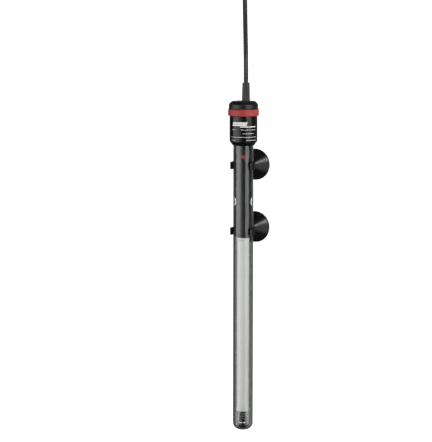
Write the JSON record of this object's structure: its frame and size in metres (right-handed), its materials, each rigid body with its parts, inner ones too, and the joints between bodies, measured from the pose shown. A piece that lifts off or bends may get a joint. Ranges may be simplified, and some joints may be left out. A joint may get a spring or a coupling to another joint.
{
  "type": "submersible aquarium heater",
  "caption": "Glass-tube aquarium heater with a red temperature dial, a pilot lamp, sliding clips with suction cups, and a power cord folded up with its plug.",
  "frame": {"origin": "on the surface that the suction cups stand on, under the middle of the heater's length without its cord", "axes": "+Y along the heater from the tip of the glass to the cap, +Z from the suction cups up through the tube"},
  "size_m": [0.051, 0.7928, 0.0528],
  "materials": {
    "glass": "clear borosilicate glass",
    "black_plastic": "glossy black moulded plastic",
    "red_plastic": "satin red moulded plastic",
    "lamp_red": "translucent red lens",
    "ceramic": "matt pale ceramic",
    "soft_rubber": "glossy black rubber",
    "seal_rubber": "matt black rubber",
    "spring_steel": "bright wire",
    "brass": "satin brass",
    "board": "matt laminate",
    "wire_sheath": "matt insulation",
    "cord_sheath": "satin black rubber sheath"
  },
  "bodies": {
    "heater": {"glass_tube": "glass", "foot_pad": "seal_rubber", "support_spring": "spring_steel", "lower_spacer_disc": "ceramic", "upper_spacer_disc": "ceramic", "ceramic_sleeve": "ceramic", "ceramic_core": "ceramic", "heating_coil": "spring_steel", "return_lead": "spring_steel", "glass_seal": "seal_rubber", "thermostat_carrier": "black_plastic", "mounting_board": "board", "fixed_contact": "spring_steel", "contact_bracket": "brass", "snap_magnet": "spring_steel", "pilot_lamp": "lamp_red", "lamp_resistor": "ceramic", "suppression_capacitor": "board", "live_wire": "wire_sheath", "neutral_wire": "wire_sheath", "element_lead": "spring_steel", "head_body": "black_plastic", "top_cap": "black_plastic", "cap_seal": "seal_rubber", "strain_relief": "cord_sheath", "power_cord": "cord_sheath", "cord_hank": "cord_sheath", "cord_end": "cord_sheath", "cord_tie": "seal_rubber", "plug_body": "cord_sheath", "plug_pin_left": "spring_steel", "plug_pin_right": "spring_steel"},
    "dial": {"temperature_dial": "red_plastic", "cam_ring": "brass"},
    "pin": {"setting_pin": "spring_steel"},
    "bimetal": {"bimetal_strip": "brass", "moving_contact": "spring_steel"},
    "upper_holder": {"upper_clip": "black_plastic"},
    "lower_holder": {"lower_clip": "black_plastic"},
    "upper_cup": {"upper_suction_cup": "soft_rubber"},
    "lower_cup": {"lower_suction_cup": "soft_rubber"}
  },
  "joints": [
    {"name": "dial_turn", "type": "hinge", "parent": "heater", "child": "dial", "pos_m": [0, 0.1764, 0.0343], "axis": [0, 1, 0], "range_deg": [-135, 135]},
    {"name": "pin_travel", "type": "slide", "parent": "heater", "child": "pin", "axis": [0, 1, 0], "range_m": [-0.00073, 0.00073]},
    {"name": "bimetal_snap", "type": "hinge", "parent": "heater", "child": "bimetal", "pos_m": [0.00369, 0.0949, 0.03325], "axis": [0.4695, 0, 0.8829], "range_deg": [0, 1.5]},
    {"name": "upper_clip_slide", "type": "slide", "parent": "heater", "child": "upper_holder", "axis": [0, 1, 0], "range_m": [-0.018, 0.0075]},
    {"name": "lower_clip_slide", "type": "slide", "parent": "heater", "child": "lower_holder", "axis": [0, 1, 0], "range_m": [-0.225, 0.018]},
    {"name": "upper_cup_spin", "type": "hinge", "parent": "upper_holder", "child": "upper_cup", "pos_m": [0, 0.1106, 0.0165], "axis": [0, 0, 1], "continuous": true},
    {"name": "lower_cup_spin", "type": "hinge", "parent": "lower_holder", "child": "lower_cup", "pos_m": [0, 0.0341, 0.0165], "axis": [0, 0, 1], "continuous": true}
  ],
  "couplings": [
    {"joint": "pin_travel", "follows": "dial_turn", "m_per_rad": -0.00030558}
  ]
}
